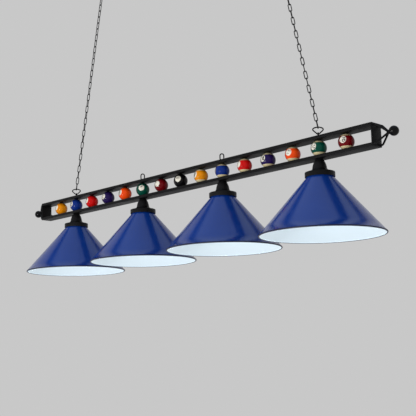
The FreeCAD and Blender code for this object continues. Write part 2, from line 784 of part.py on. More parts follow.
def make_cord_grip():
    """The bush in the lower rail where the supply cord goes in, at the left-hand end of the bar."""
    stem_low = LOWER_RAIL_TOP_Z - dim("rail_wall")
    stem = solid("Cylinder", "GripStem", {"Radius": str(GRIP_STEM_RADIUS)}, GRIP_X, 0, stem_low)
    stem.Height = dim("rail_wall") + 1
    flange_sizes = {"Radius": str(GRIP_FLANGE_RADIUS), "Height": str(GRIP_FLANGE_HEIGHT)}
    flange = solid("Cylinder", "GripFlange", flange_sizes, GRIP_X, 0, LOWER_RAIL_TOP_Z)
    cone_sizes = {"Radius1": "4.6", "Radius2": "3.6", "Height": str(GRIP_CONE_HEIGHT)}
    cone = solid("Cone", "GripCone", cone_sizes, GRIP_X, 0, LOWER_RAIL_TOP_Z + GRIP_FLANGE_HEIGHT)
    bore = solid("Cylinder", "GripBore", {"Radius": str(GRIP_BORE_RADIUS)}, GRIP_X, 0, stem_low - 1)
    bore.Height = dim("rail_wall") + GRIP_FLANGE_HEIGHT + GRIP_CONE_HEIGHT + 2
    part(cut("CordGrip", fuse("GripBody", [stem, flange, cone]), [bore]), "cord_grip")


# ---------------------------------------------------------------- the whole lamp
make_bar()
make_balls()
make_ball_pins()
FACING = dim("facing_angle")
for eye_label, eye_x in (("eye_outer_left", LAMP_X[0]), ("eye_outer_right", LAMP_X[3])):
    make_eye(eye_label, eye_x, EYE_HALF_WIDTH, EYE_STRAIGHT, FACING + 90)
for eye_label, eye_x in (("eye_inner_left", LAMP_X[1]), ("eye_inner_right", LAMP_X[2])):
    make_eye(eye_label, eye_x, FREE_EYE_HALF_WIDTH, FREE_EYE_STRAIGHT, FACING)
make_hanger("hanger_left", LAMP_X[0])
make_hanger("hanger_right", LAMP_X[3])
make_lamps()
make_wiring()
make_cord_grip()
for end_side, end_name in ((-1, "left"), (1, "right")):
    make_finial(end_side, end_name)
    make_ceiling_set(end_side, end_name)
chain_link = link_template()
doc.recompute()
for end_side, end_name in ((-1, "left"), (1, "right")):
    make_chain(end_side, chain_link, end_name)
doc.recompute()

for item in doc.Objects:
    if "Invalid" in item.State or "Error" in item.State:
        raise RuntimeError(f"{item.Label} did not recompute: {item.State}")
if len(set(item.Label for item in PARTS)) != len(PARTS):
    raise RuntimeError("two sub-parts share a label")
for item in PARTS:
    if item.Shape.isNull() or not item.Shape.isValid() or not item.Shape.Solids:
        raise RuntimeError(f"{item.Label} has no sound shape")
    item.Shape.exportStep(f"parts/{item.Label}.step")
print(len(PARTS), "sub-parts")
print("chain lean, degrees:", round(math.degrees(CHAIN_LEAN), 3), "line:", round(CHAIN_LINE, 2))
print("hook z", round(HOOK_Z, 2), "hanger bar z", round(HANGER_BAR_Z, 2))
print("apex z", round(TOP_Z + APEX_RISE, 2))
print("top z", round(TOP_Z, 2), "ball z", round(BALL_Z, 2), "lower rail z", round(LOWER_RAIL_Z, 2))
print("cap z", round(CAP_Z, 2), "rim z", round(RIM_Z, 2))
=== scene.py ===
"""The pool table lamp's looks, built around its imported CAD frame. Metres, +Z up, +X along the bar."""
import math

import bmesh
import bpy
from mathutils import Matrix, Vector


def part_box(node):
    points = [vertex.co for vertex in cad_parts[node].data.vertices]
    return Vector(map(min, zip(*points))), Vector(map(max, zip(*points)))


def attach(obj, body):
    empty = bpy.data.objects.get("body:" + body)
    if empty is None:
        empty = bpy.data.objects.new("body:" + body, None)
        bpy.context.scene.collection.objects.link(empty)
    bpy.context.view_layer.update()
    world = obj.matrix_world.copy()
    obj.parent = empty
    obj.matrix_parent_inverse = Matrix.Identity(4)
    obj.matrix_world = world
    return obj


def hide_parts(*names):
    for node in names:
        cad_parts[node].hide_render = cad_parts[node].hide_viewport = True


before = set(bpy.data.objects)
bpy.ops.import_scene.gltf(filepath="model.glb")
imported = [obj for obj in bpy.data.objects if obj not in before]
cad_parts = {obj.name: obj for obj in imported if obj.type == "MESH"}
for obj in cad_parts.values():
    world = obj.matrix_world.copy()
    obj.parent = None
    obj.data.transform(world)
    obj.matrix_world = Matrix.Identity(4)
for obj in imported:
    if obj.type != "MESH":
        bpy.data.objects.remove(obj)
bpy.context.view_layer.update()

MM = 0.001
TAU = 2 * math.pi

# ---------------------------------------------------------------- places read from the frame
BALL_COUNT = 15
BALL_BOXES = [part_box(f"ball_{n:02d}") for n in range(1, BALL_COUNT + 1)]
BALLS = [Vector(((low.x + high.x) / 2, 0, (low.z + high.z) / 2)) for low, high in BALL_BOXES]
TOP_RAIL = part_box("top_rail")
BOTTOM_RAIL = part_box("bottom_rail")
RAIL = TOP_RAIL[1].z - TOP_RAIL[0].z
BALL_RADIUS = (TOP_RAIL[0].z - BOTTOM_RAIL[1].z) / 2
BALL_Z = (TOP_RAIL[0].z + BOTTOM_RAIL[1].z) / 2
LAMP_X = [BALLS[n].x for n in (1, 5, 9, 13)]
PLATE_X = {
    "left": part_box("ceiling_plate_left")[0].x + 25 * MM,
    "right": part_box("ceiling_plate_right")[1].x - 25 * MM,
}


# ---------------------------------------------------------------- materials
def new_material(name, colour, roughness, **sockets):
    """A Principled material with its node tree's main parts: (material, nodes, links, shader)."""
    material = bpy.data.materials.new(name)
    material.use_nodes = True
    nodes, links = material.node_tree.nodes, material.node_tree.links
    shader = nodes["Principled BSDF"]
    shader.inputs["Base Color"].default_value = (*colour, 1)
    shader.inputs["Roughness"].default_value = roughness
    for socket_name, number in sockets.items():
        shader.inputs[socket_name.replace("_", " ")].default_value = number
    return material, nodes, links, shader


def noise(nodes, links, scale, detail=3.0, vector=None):
    node = nodes.new("ShaderNodeTexNoise")
    node.inputs["Scale"].default_value = scale
    node.inputs["Detail"].default_value = detail
    if vector is None:
        coordinates = nodes.new("ShaderNodeTexCoord")
        vector = coordinates.outputs["Object"]
    links.new(vector, node.inputs["Vector"])
    return node


def ramp(nodes, links, source, stops):
    node = nodes.new("ShaderNodeValToRGB")
    elements = node.color_ramp.elements
    while len(elements) < len(stops):
        elements.new(0.5)
    for element, (place, colour) in zip(elements, stops):
        element.position = place
        element.color = (*colour, 1) if len(colour) == 3 else colour
    links.new(source, node.inputs["Fac"])
    return node


def add_bump(nodes, links, shader, source, strength, distance):
    bump = nodes.new("ShaderNodeBump")
    bump.inputs["Strength"].default_value = strength
    bump.inputs["Distance"].default_value = distance
    links.new(source, bump.inputs["Height"])
    links.new(bump.outputs["Normal"], shader.inputs["Normal"])
    return bump


def greys(low, high):
    return [(0.3, (low,) * 3), (0.7, (high,) * 3)]


def powder_coat(name, colour, roughness=0.42, grain=900.0, strength=0.25, shine=0.12):
    """Black powder coat: a satin skin with a fine pebbled surface and faint dusty patches."""
    material, nodes, links, shader = new_material(name, colour, roughness, Specular_IOR_Level=shine)
    pebbles = noise(nodes, links, grain, 2.0)
    add_bump(nodes, links, shader, pebbles.outputs["Fac"], strength, 0.0003)
    patches = noise(nodes, links, 14.0, 4.0)
    dusty = tuple(min(1.0, c * 1.5 + 0.002) for c in colour)
    tint = ramp(nodes, links, patches.outputs["Fac"], [(0.35, colour), (0.75, dusty)])
    links.new(tint.outputs["Color"], shader.inputs["Base Color"])
    sheen = ramp(nodes, links, patches.outputs["Fac"], greys(roughness - 0.06, roughness + 0.1))
    links.new(sheen.outputs["Color"], shader.inputs["Roughness"])
    return material


def enamel(name, colour, deep, roughness=0.16, **sockets):
    """Gloss stove enamel on steel, with a little orange peel and slow changes in its depth."""
    material, nodes, links, shader = new_material(
        name, colour, roughness, Specular_IOR_Level=0.4, **sockets
    )
    slow = noise(nodes, links, 9.0, 3.0)
    tint = ramp(nodes, links, slow.outputs["Fac"], [(0.3, deep), (0.7, colour)])
    links.new(tint.outputs["Color"], shader.inputs["Base Color"])
    peel = noise(nodes, links, 260.0, 1.0)
    add_bump(nodes, links, shader, peel.outputs["Fac"], 0.06, 0.0004)
    marks = noise(nodes, links, 60.0, 6.0)
    gloss = ramp(nodes, links, marks.outputs["Fac"], greys(roughness * 0.8, roughness * 1.35))
    links.new(gloss.outputs["Color"], shader.inputs["Roughness"])
    return material


def plated_metal(name, colour, roughness=0.3):
    material, nodes, links, shader = new_material(name, colour, roughness, Metallic=1.0)
    brushed = noise(nodes, links, 420.0, 5.0)
    gloss = ramp(nodes, links, brushed.outputs["Fac"], greys(roughness * 0.7, roughness * 1.5))
    links.new(gloss.outputs["Color"], shader.inputs["Roughness"])
    add_bump(nodes, links, shader, brushed.outputs["Fac"], 0.08, 0.0002)
    return material


def moulded_plastic(name, colour, roughness=0.5):
    material, nodes, links, shader = new_material(name, colour, roughness)
    grain = noise(nodes, links, 1500.0, 2.0)
    add_bump(nodes, links, shader, grain.outputs["Fac"], 0.15, 0.0002)
    marks = noise(nodes, links, 50.0, 4.0)
    gloss = ramp(nodes, links, marks.outputs["Fac"], greys(roughness - 0.08, roughness + 0.1))
    links.new(gloss.outputs["Color"], shader.inputs["Roughness"])
    return material


def frosted_glass(name):
    """Opal glass of a bulb that is on: its glow is a little bluer in some places than in others."""
    opal = (0.93, 0.94, 0.92)
    material, nodes, links, shader = new_material(name, opal, 0.3, Transmission_Weight=0.15)
    coat = noise(nodes, links, 120.0, 3.0)
    glow = ramp(nodes, links, coat.outputs["Fac"], [(0.3, (0.93, 0.97, 1.0)), (0.7, (1.0, 1.0, 1.0))])
    links.new(glow.outputs["Color"], shader.inputs["Emission Color"])
    shader.inputs["Emission Strength"].default_value = BULB_GLOW
    return material


CREAM = (0.80, 0.68, 0.40)
DISC_CREAM = (0.90, 0.86, 0.74)


def ball_resin(name, colour, striped, facing):
    """Polished resin: a solid colour, or cream with a wide coloured band, and a cream number disc, with
    painted shade darkening it towards its outline.

    facing is the direction from the ball's centre to its disc. The ball's own coordinates are in metres.
    """
    material, nodes, links, shader = new_material(name, colour, 0.09, Specular_IOR_Level=0.14)
    coordinates = nodes.new("ShaderNodeTexCoord")
    place = coordinates.outputs["Object"]
    mottle = noise(nodes, links, 70.0, 4.0, place)
    deep = tuple(c * 0.82 for c in colour)
    base = ramp(nodes, links, mottle.outputs["Fac"], [(0.3, deep), (0.7, colour)]).outputs["Color"]
    cream_stops = [(0.3, tuple(c * 0.93 for c in CREAM)), (0.7, CREAM)]
    aged = ramp(nodes, links, mottle.outputs["Fac"], cream_stops).outputs["Color"]
    if striped:
        parts = nodes.new("ShaderNodeSeparateXYZ")
        links.new(place, parts.inputs["Vector"])
        height = nodes.new("ShaderNodeMath")
        height.operation = "ABSOLUTE"
        links.new(parts.outputs["Z"], height.inputs[0])
        base = blend_by(nodes, links, height.outputs[0], STRIPE_HALF * BALL_RADIUS, base, aged)
    toward = nodes.new("ShaderNodeVectorMath")
    toward.operation = "DOT_PRODUCT"
    links.new(place, toward.inputs[0])
    toward.inputs[1].default_value = facing
    edge = BALL_RADIUS * math.cos(math.asin(DISC_SHARE))
    base = blend_by(nodes, links, toward.outputs["Value"], edge, base, disc_colour(nodes, links, mottle))
    # painted shade: the colour turns darker towards the ball's outline
    links.new(rim_darkened(nodes, links, base), shader.inputs["Base Color"])
    handled = noise(nodes, links, 200.0, 5.0, place)
    gloss = ramp(nodes, links, handled.outputs["Fac"], greys(0.06, 0.14))
    links.new(gloss.outputs["Color"], shader.inputs["Roughness"])
    add_bump(nodes, links, shader, handled.outputs["Fac"], 0.02, 0.0001)
    return material


def rim_darkened(nodes, links, colour):
    """Painted shade: the colour, deeper where the polished surface turns away from the eye, standing in
    for the dark reflections at a ball's outline.
    """
    facing = nodes.new("ShaderNodeLayerWeight")
    facing.inputs["Blend"].default_value = 0.35
    shade = ramp(nodes, links, facing.outputs["Facing"], [(0.25, (1, 1, 1)), (0.8, (0.3, 0.3, 0.3))])
    mix = nodes.new("ShaderNodeMix")
    mix.data_type = "RGBA"
    mix.blend_type = "MULTIPLY"
    mix.inputs["Factor"].default_value = 1.0
    links.new(colour, mix.inputs["A"])
    links.new(shade.outputs["Color"], mix.inputs["B"])
    return mix.outputs["Result"]


def disc_colour(nodes, links, mottle):
    stops = [(0.3, tuple(c * 0.95 for c in DISC_CREAM)), (0.7, DISC_CREAM)]
    return ramp(nodes, links, mottle.outputs["Fac"], stops).outputs["Color"]


def blend_by(nodes, links, measure, edge, below, above):
    """One colour where a measure is under an edge and another over it, with a soft line between."""
    soft = 0.00025
    share = nodes.new("ShaderNodeMapRange")
    share.inputs["From Min"].default_value = edge - soft
    share.inputs["From Max"].default_value = edge + soft
    links.new(measure, share.inputs["Value"])
    mix = nodes.new("ShaderNodeMix")
    mix.data_type = "RGBA"
    links.new(share.outputs["Result"], mix.inputs["Factor"])
    links.new(below, mix.inputs["A"])
    links.new(above, mix.inputs["B"])
    return mix.outputs["Result"]


STRIPE_HALF = 0.62
DISC_SHARE = 0.43
BULB_GLOW = 5.0
PAINTED_INSIDE_LIGHT = 0.45

COAT = powder_coat("bar_powder_coat", (0.0032, 0.0032, 0.0036), 0.5)
CAP_COAT = powder_coat("cap_powder_coat", (0.005, 0.005, 0.0055), 0.42, 1100.0, 0.18)
KNOB_COAT = powder_coat("knob_gloss_black", (0.004, 0.004, 0.0045), 0.16, 500.0, 0.05, 0.13)
CHAIN_COAT = powder_coat("chain_black", (0.012, 0.012, 0.013), 0.38, 1400.0, 0.2)
CEILING_COAT = powder_coat("ceiling_black", (0.018, 0.018, 0.019), 0.4)
BLUE = enamel("shade_blue_enamel", (0.004, 0.041, 0.27), (0.003, 0.036, 0.245), 0.18)
RIM_BLUE = enamel("shade_rim_enamel", (0.002, 0.006, 0.05), (0.002, 0.005, 0.04), 0.4)
WHITE = enamel("shade_white_enamel_painted_glow", (0.37, 0.43, 0.49), (0.36, 0.42, 0.48), 0.36)
WHITE_SHADER = WHITE.node_tree.nodes["Principled BSDF"]
# painted light: the white inside of each shade glows a little, bluish, standing in for the light the
# bulbs throw on it
WHITE_SHADER.inputs["Emission Color"].default_value = (0.83, 0.96, 1.0, 1)
WHITE_SHADER.inputs["Emission Strength"].default_value = PAINTED_INSIDE_LIGHT
HOLDER = moulded_plastic("holder_black_plastic", (0.016, 0.016, 0.017))
ZINC = plated_metal("zinc_plate", (0.62, 0.62, 0.60))
BASE_METAL = plated_metal("bulb_base_plate", (0.70, 0.69, 0.66), 0.25)
GLASS = frosted_glass("bulb_opal_glass")
LEAD = moulded_plastic("lead_insulation", (0.03, 0.03, 0.03), 0.55)
DIGIT = moulded_plastic("number_ink", (0.004, 0.004, 0.004), 0.45)


# ---------------------------------------------------------------- mesh makers
def new_piece(name, body, mesh, materials, replaced=()):
    """Puts a mesh in the scene as a piece on a CAD body, with its finish and the nodes it stands for."""
    piece = bpy.data.objects.new(name, mesh)
    bpy.context.scene.collection.objects.link(piece)
    for material in materials:
        mesh.materials.append(material)
    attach(piece, body)
    if replaced:
        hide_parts(*replaced)
    return piece


def mesh_from(bm, name, smooth=True):
    mesh = bpy.data.meshes.new(name)
    bmesh.ops.recalc_face_normals(bm, faces=bm.faces)
    bm.to_mesh(mesh)
    bm.free()
    for polygon in mesh.polygons:
        polygon.use_smooth = smooth
    return mesh


def crease(mesh, degrees=32.0):
    """Marks the edges that turn more than this as sharp, so that smooth shading stops there."""
    mesh.set_sharp_from_angle(angle=math.radians(degrees))
    return mesh


def bend_point(start, pull, end, share):
    """The point at a share of the way along a smooth curve from start to end that leans towards pull."""
    return (1 - share) ** 2 * start + 2 * share * (1 - share) * pull + share**2 * end


def rounded(points, radius, steps=4):
    """A closed outline with each corner (r, z[, its own radius]) turned into an arc."""
    result = []
    count = len(points)
    for n in range(count):
        here = Vector(points[n][:2])
        before = Vector(points[n - 1][:2])
        after = Vector(points[(n + 1) % count][:2])
        size = points[n][2] if len(points[n]) > 2 else radius
        into, out = (before - here), (after - here)
        half = into.angle(out) / 2 if into.length and out.length else math.pi / 2
        reach = min(size / max(math.tan(half), 1e-6), into.length * 0.45, out.length * 0.45)
        if size <= 0 or here.x <= 1e-9 or half > math.radians(88):
            result.append(here)
            continue
        start = here + into.normalized() * reach
        end = here + out.normalized() * reach
        for k in range(steps + 1):
            result.append(bend_point(start, here, end, k / steps))
    return result


def lathe(bm, outline, centre, segments=96, paint=None):
    """Turns a closed outline of (radius, height) about the vertical through centre."""
    rings = []
    for radius, height in outline:
        if radius < 1e-7:
            rings.append([bm.verts.new((centre.x, centre.y, centre.z + height))])
            continue
        ring = []
        for k in range(segments):
            angle = TAU * k / segments
            x = centre.x + radius * math.cos(angle)
            y = centre.y + radius * math.sin(angle)
            ring.append(bm.verts.new((x, y, centre.z + height)))
        rings.append(ring)
    for n in range(len(rings)):
        first, second = rings[n], rings[(n + 1) % len(rings)]
        if len(first) == 1 and len(second) == 1:
            continue
        for k in range(segments):
            following = (k + 1) % segments
            corners = [first[k % len(first)], first[following % len(first)]]
            corners += [second[following % len(second)], second[k % len(second)]]
            unique = list(dict.fromkeys(corners))
            face = bm.faces.new(unique)
            if paint:
                face.material_index = paint(n, outline)


def tube(bm, path, radius, closed=False, sides=12, material=0):
    """A round tube along a list of points, closed into a loop or with a rounded cap at each end."""
    points = [Vector(p) for p in path]
    count = len(points)
    tangents = []
    for n in range(count):
        before = points[n - 1] if closed or n > 0 else points[n]
        after = points[(n + 1) % count] if closed or n < count - 1 else points[n]
        tangents.append((after - before).normalized())
    side = tangents[0].orthogonal().normalized()
    rings = []
    for n in range(count):
        side = (side - tangents[n] * side.dot(tangents[n])).normalized()
        across = tangents[n].cross(side)
        ring = []
        for k in range(sides):
            angle = TAU * k / sides
            spoke = math.cos(angle) * side + math.sin(angle) * across
            ring.append(bm.verts.new(points[n] + radius * spoke))
        rings.append(ring)
    if closed:
        first = rings[0]
        shift = min(range(sides), key=lambda k: (rings[-1][k].co - first[0].co).length)
        rings.append([first[(k - shift) % sides] for k in range(sides)])
    for one, two in zip(rings, rings[1:]):
        for k in range(sides):
            face = bm.faces.new([one[k], one[(k + 1) % sides], two[(k + 1) % sides], two[k]])
            face.material_index = material
    if not closed:
        ends = ((rings[0], -tangents[0], points[0]), (rings[-1], tangents[-1], points[-1]))
        for ring, tangent, point in ends:
            tip = bm.verts.new(point + tangent * radius * 0.35)
            for k in range(sides):
                face = bm.faces.new([ring[k], ring[(k + 1) % sides], tip])
                face.material_index = material


def oval_path(half_width, straight, steps=12):
    """Points round a closed oval in the XZ plane with its long axis along Z."""
    points = []
    for start, shift in ((0.0, straight / 2), (math.pi, -straight / 2)):
        for k in range(steps + 1):
            angle = start + math.pi * k / steps
            points.append(Vector((half_width * math.cos(angle), 0, shift + half_width * math.sin(angle))))
    return points


def filleted(points, radius, steps=6):
    """An open path in space with its inner corners rounded."""
    result = [Vector(points[0])]
    for before, here, after in zip(points, points[1:], points[2:]):
        before, here, after = Vector(before), Vector(here), Vector(after)
        reach = min(radius, (before - here).length * 0.45, (after - here).length * 0.45)
        start = here + (before - here).normalized() * reach
        end = here + (after - here).normalized() * reach
        for k in range(steps + 1):
            result.append(bend_point(start, here, end, k / steps))
    result.append(Vector(points[-1]))
    return result


def bevelled_box(bm, low, high, width, segments=3):
    """A box with rounded edges."""
    size = high - low
    middle = (low + high) / 2
    made = bmesh.ops.create_cube(bm, size=1.0)
    for vertex in made["verts"]:
        vertex.co = Vector((vertex.co.x * size.x, vertex.co.y * size.y, vertex.co.z * size.z)) + middle
    edges = list({edge for vertex in made["verts"] for edge in vertex.link_edges})
    bmesh.ops.bevel(bm, geom=edges, offset=width, segments=segments, profile=0.5, affect="EDGES")


def moved(bm, start, matrix):
    """Moves every vertex made since start."""
    bm.verts.ensure_lookup_table()
    for vertex in bm.verts[start:]:
        vertex.co = matrix @ vertex.co


# ---------------------------------------------------------------- the bar
RAIL_EDGE = 1.1 * MM
END_PLATE_EDGE = 1.2 * MM


def make_flat(name, edge):
    """A rail or an end plate, with its edges rounded."""
    bm = bmesh.new()
    low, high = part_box(name)
    bevelled_box(bm, low, high, edge)
    mesh = crease(mesh_from(bm, name + "_skin"), 40)
    new_piece(name + "_skin", "fixture", mesh, [COAT], [name])


def make_end_screws():
    """Low round-headed screws with a shallow round recess, where the CAD screws' heads are."""
    bm = bmesh.new()
    low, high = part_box("end_plate_screws")
    head = 3.2 * MM
    rise = 1.8 * MM
    for side, face in ((-1, low.x), (1, high.x)):
        for y in (low.y + head, high.y - head):
            for z in (low.z + head, high.z - head):
                start = len(bm.verts)
                outline = [(0, -6 * MM), (1.7 * MM, -6 * MM), (1.7 * MM, 0), (head, 0), (head, 0.5 * MM)]
                outline += [(head * 0.8, rise * 0.75), (head * 0.45, rise), (1.3 * MM, rise)]
                outline += [(0.9 * MM, rise * 0.45), (0, rise * 0.4)]
                lathe(bm, outline, Vector((0, 0, 0)), 24)
                place = Matrix.Translation((face - side * rise, y, z))
                moved(bm, start, place @ Matrix.Rotation(side * math.pi / 2, 4, "Y"))
    mesh = crease(mesh_from(bm, "end_plate_screw_heads"), 35)
    new_piece("end_plate_screw_heads", "fixture", mesh, [COAT], ["end_plate_screws"])


def make_finial(name, side):
    """Four bent wire struts, a turned collar and a ball knob."""
    cage_low, cage_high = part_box(f"finial_cage_{name}")
    knob_low, knob_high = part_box(f"finial_knob_{name}")
    radius = (knob_high.z - knob_low.z) / 2
    middle = (knob_high.z + knob_low.z) / 2
    knob_x = (knob_high.x - radius) if side > 0 else (knob_low.x + radius)
    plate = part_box(f"end_plate_{name}")
    face = plate[1].x if side > 0 else plate[0].x
    strut = 3.0 * MM
    collar_inner = knob_x - side * (radius + 7 * MM)
    bm = bmesh.new()
    for y in (cage_low.y + strut, cage_high.y - strut):
        for z in (cage_low.z + strut, cage_high.z - strut):
            lift = Vector((0, y, z - middle))
            tip = Vector((collar_inner + side * 2 * MM, 0, middle)) + lift * (3.2 * MM / lift.length)
            elbow = Vector((face + side * 7.5 * MM, y * 0.95, middle + (z - middle) * 0.95))
            root = Vector((face - side * 2 * MM, y, z))
            tube(bm, filleted([root, elbow, tip], 7 * MM), strut, sides=16)
    start = len(bm.verts)
    outline = [(0, 0), (5.1 * MM, 0), (6.5 * MM, 1.2 * MM), (6.5 * MM, 4 * MM), (4.9 * MM, 5 * MM)]
    outline += [(4.9 * MM, 9 * MM), (0, 9 * MM)]
    lathe(bm, rounded(outline, 0.5 * MM), Vector((0, 0, 0)), 40)
    turn = Matrix.Rotation(side * math.pi / 2, 4, "Y")
    moved(bm, start, Matrix.Translation((collar_inner, 0, middle)) @ turn)
    mesh = crease(mesh_from(bm, f"finial_struts_{name}"), 40)
    new_piece(f"finial_struts_{name}", "fixture", mesh, [COAT], [f"finial_cage_{name}"])

    bm = bmesh.new()
    outline = []
    for k in range(33):
        angle = -math.pi / 2 + math.pi * k / 32
        outline.append((max(0.0, radius * math.cos(angle)), radius * math.sin(angle)))
    outline[0] = (0, -radius)
    outline[-1] = (0, radius)
    lathe(bm, outline, Vector((0, 0, 0)), 64)
    moved(bm, 0, Matrix.Translation((knob_x, 0, middle)) @ turn)
    mesh = mesh_from(bm, f"knob_{name}")
    new_piece(f"knob_{name}", "fixture", mesh, [KNOB_COAT], [f"finial_knob_{name}"])


# ---------------------------------------------------------------- pool balls
COLOURS = {
    1: (0.9, 0.30, 0.003),
    2: (0.006, 0.032, 0.24),
    3: (0.68, 0.006, 0.006),
    4: (0.020, 0.009, 0.085),
    5: (1.0, 0.08, 0.006),
    6: (0.001, 0.075, 0.047),
    7: (0.17, 0.002, 0.005),
    8: (0.005, 0.005, 0.006),
}
# How far each disc is turned from the viewing direction, in degrees, to the left as seen from there
DISC_TURN = [50, 52, 54, 46, 50, 6, 36, 20, 60, 88, 60, 50, 38, 50, 32]
DISC_LIFT = 8.0
VIEW_AZIMUTH = math.radians(-47.0)
DIGIT_SIZE = 0.88


def number_on_ball(number, facing):
    """A mesh of the number, wrapped on to the ball just proud of its surface."""
    curve = bpy.data.curves.new(f"number_{number}", "FONT")
    curve.body = str(number)
    curve.align_x = "CENTER"
    curve.align_y = "CENTER"
    curve.offset = 0.085
    holder = bpy.data.objects.new(f"number_{number}_text", curve)
    bpy.context.scene.collection.objects.link(holder)
    graph = bpy.context.evaluated_depsgraph_get()
    flat = bpy.data.meshes.new_from_object(holder.evaluated_get(graph))
    bpy.data.objects.remove(holder)
    bm = bmesh.new()
    bm.from_mesh(flat)
    bpy.data.meshes.remove(flat)
    bmesh.ops.triangulate(bm, faces=bm.faces)
    bmesh.ops.subdivide_edges(bm, edges=bm.edges, cuts=2, use_grid_fill=False)
    xs = [v.co.x for v in bm.verts]
    ys = [v.co.y for v in bm.verts]
    middle = Vector(((min(xs) + max(xs)) / 2, (min(ys) + max(ys)) / 2, 0))
    height = max(ys) - min(ys)
    width = max(xs) - min(xs)
    scale = DIGIT_SIZE * DISC_SHARE * 2 * BALL_RADIUS / max(height, width * 1.05)
    outward = Vector(facing).normalized()
    across = Vector((0, 0, 1)).cross(outward).normalized()
    up = outward.cross(across)
    for vertex in bm.verts:
        flat_place = (vertex.co - middle) * scale
        on_ball = outward * BALL_RADIUS + across * flat_place.x + up * flat_place.y
        vertex.co = on_ball.normalized() * (BALL_RADIUS + 0.06 * MM)
    return bm


def make_ball(n):
    number = n + 1
    turn = VIEW_AZIMUTH - math.radians(DISC_TURN[n])
    lift = math.radians(DISC_LIFT)
    facing = (math.cos(turn) * math.cos(lift), math.sin(turn) * math.cos(lift), math.sin(lift))
    colour = COLOURS[number if number <= 8 else number - 8]
    material = ball_resin(f"ball_{number:02d}_material", colour, number > 8, facing)
    bm = bmesh.new()
    bore = 2.6 * MM
    low = math.acos(bore / BALL_RADIUS)
    outline = [(bore, -BALL_RADIUS * math.sin(low) + 1.5 * MM)]
    for k in range(49):
        angle = -low + 2 * low * k / 48
        outline.append((BALL_RADIUS * math.cos(angle), BALL_RADIUS * math.sin(angle)))
    outline.append((bore, BALL_RADIUS * math.sin(low) - 1.5 * MM))
    lathe(bm, outline, Vector((0, 0, 0)), 72)
    ball = f"ball_{number:02d}"
    mesh = crease(mesh_from(bm, f"{ball}_body"), 60)
    piece = new_piece(f"{ball}_body", "fixture", mesh, [material], [ball])
    piece.location = (BALLS[n].x, 0, BALL_Z)
    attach(piece, "fixture")
    digits = mesh_from(number_on_ball(number, facing), f"{ball}_number")
    text = new_piece(f"{ball}_number", "fixture", digits, [DIGIT])
    text.location = (BALLS[n].x, 0, BALL_Z)
    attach(text, "fixture")


# ---------------------------------------------------------------- lamps
def curved(start, pull, end, steps=12):
    """Points after start on a smooth curve to end that leans towards pull."""
    return [tuple(bend_point(start, pull, end, k / steps)) for k in range(1, steps + 1)]


def make_cap(n, x):
    """The bell cap: vertical rim, hollow flare, and a dome that narrows to the rail."""
    low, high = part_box(f"shade_cap_{n}")
    radius = (high.x - low.x) / 2 + 0.05 * MM
    height = high.z - low.z
    neck = 22.5 * MM
    crown = 11.5 * MM
    rim_top = 16 * MM
    neck_z = 28 * MM
    outer = [(radius - 1.5 * MM, 0), (radius - 0.5 * MM, 0), (radius, 0.6 * MM)]
    outer += [(radius, rim_top - 2 * MM), (radius - 0.6 * MM, rim_top - 0.6 * MM)]
    outer += [(radius - 2 * MM, rim_top)]
    pull = Vector((neck + 2.6 * MM, rim_top + 2.6 * MM))
    outer += curved(Vector((radius - 2 * MM, rim_top)), pull, Vector((neck, neck_z)))
    bend = Vector((neck - 1.5 * MM, neck_z + 16 * MM))
    outer += curved(Vector((neck, neck_z)), bend, Vector((crown, height)))
    outer += [(5.1 * MM, height), (5.1 * MM, height - 1.5 * MM), (crown - 1 * MM, height - 1.5 * MM)]
    outer += [(neck - 5.2 * MM, neck_z + 14 * MM), (neck - 1.7 * MM, neck_z)]
    outer += [(neck + 5.6 * MM, rim_top + 3 * MM), (radius - 3 * MM, rim_top - 1.6 * MM)]
    outer += [(radius - 1.6 * MM, rim_top - 3 * MM)]
    bm = bmesh.new()
    lathe(bm, outer, Vector((x, 0, low.z)), 96)
    mesh = crease(mesh_from(bm, f"cap_{n}_bell"), 38)
    new_piece(f"cap_{n}_bell", "fixture", mesh, [CAP_COAT], [f"shade_cap_{n}"])


def make_shade(n, x):
    """The cone: blue enamel outside, white inside with a painted glow, and a rolled bead round the rim.
    """
    low_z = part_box(f"shade_{n}")[0].z
    rim = 195.0 * MM
    bead = 2.4 * MM
    neck = 42.0 * MM
    height = 178.0 * MM
    collar = 186.0 * MM
    steel = 1.2 * MM
    bead_r = rim - bead
    outline = []
    for k in range(13):
        angle = math.radians(-150 + 230 * k / 12)
        outline.append((bead_r + bead * math.cos(angle), bead + bead * math.sin(angle)))
    bead_faces = len(outline) - 1
    cone_steps = 8
    start = Vector(outline[-1])
    end = Vector((neck, height))
    for k in range(1, cone_steps + 1):
        outline.append(tuple(start.lerp(end, k / cone_steps)))
    outline += [(neck, collar + steel), (20 * MM, collar + steel), (20 * MM, collar)]
    blue_faces = len(outline) - 1
    outline += [(neck - steel, collar), (neck - steel, height - 1 * MM)]
    inner_end = Vector((bead_r - 1.6 * MM, 2 * bead - 0.4 * MM))
    inner_start = Vector((neck - steel, height - 1 * MM))
    for k in range(1, cone_steps + 1):
        outline.append(tuple(inner_start.lerp(inner_end, k / cone_steps)))

    def paint(face, _):
        if face < bead_faces:
            return 1
        return 0 if face < blue_faces else 2

    bm = bmesh.new()
    lathe(bm, outline, Vector((x, 0, low_z)), 192, paint)
    mesh = crease(mesh_from(bm, f"shade_{n}_cone"), 35)
    finishes = [BLUE, RIM_BLUE, WHITE]
    new_piece(f"shade_{n}_cone", "fixture", mesh, finishes, [f"shade_{n}"])


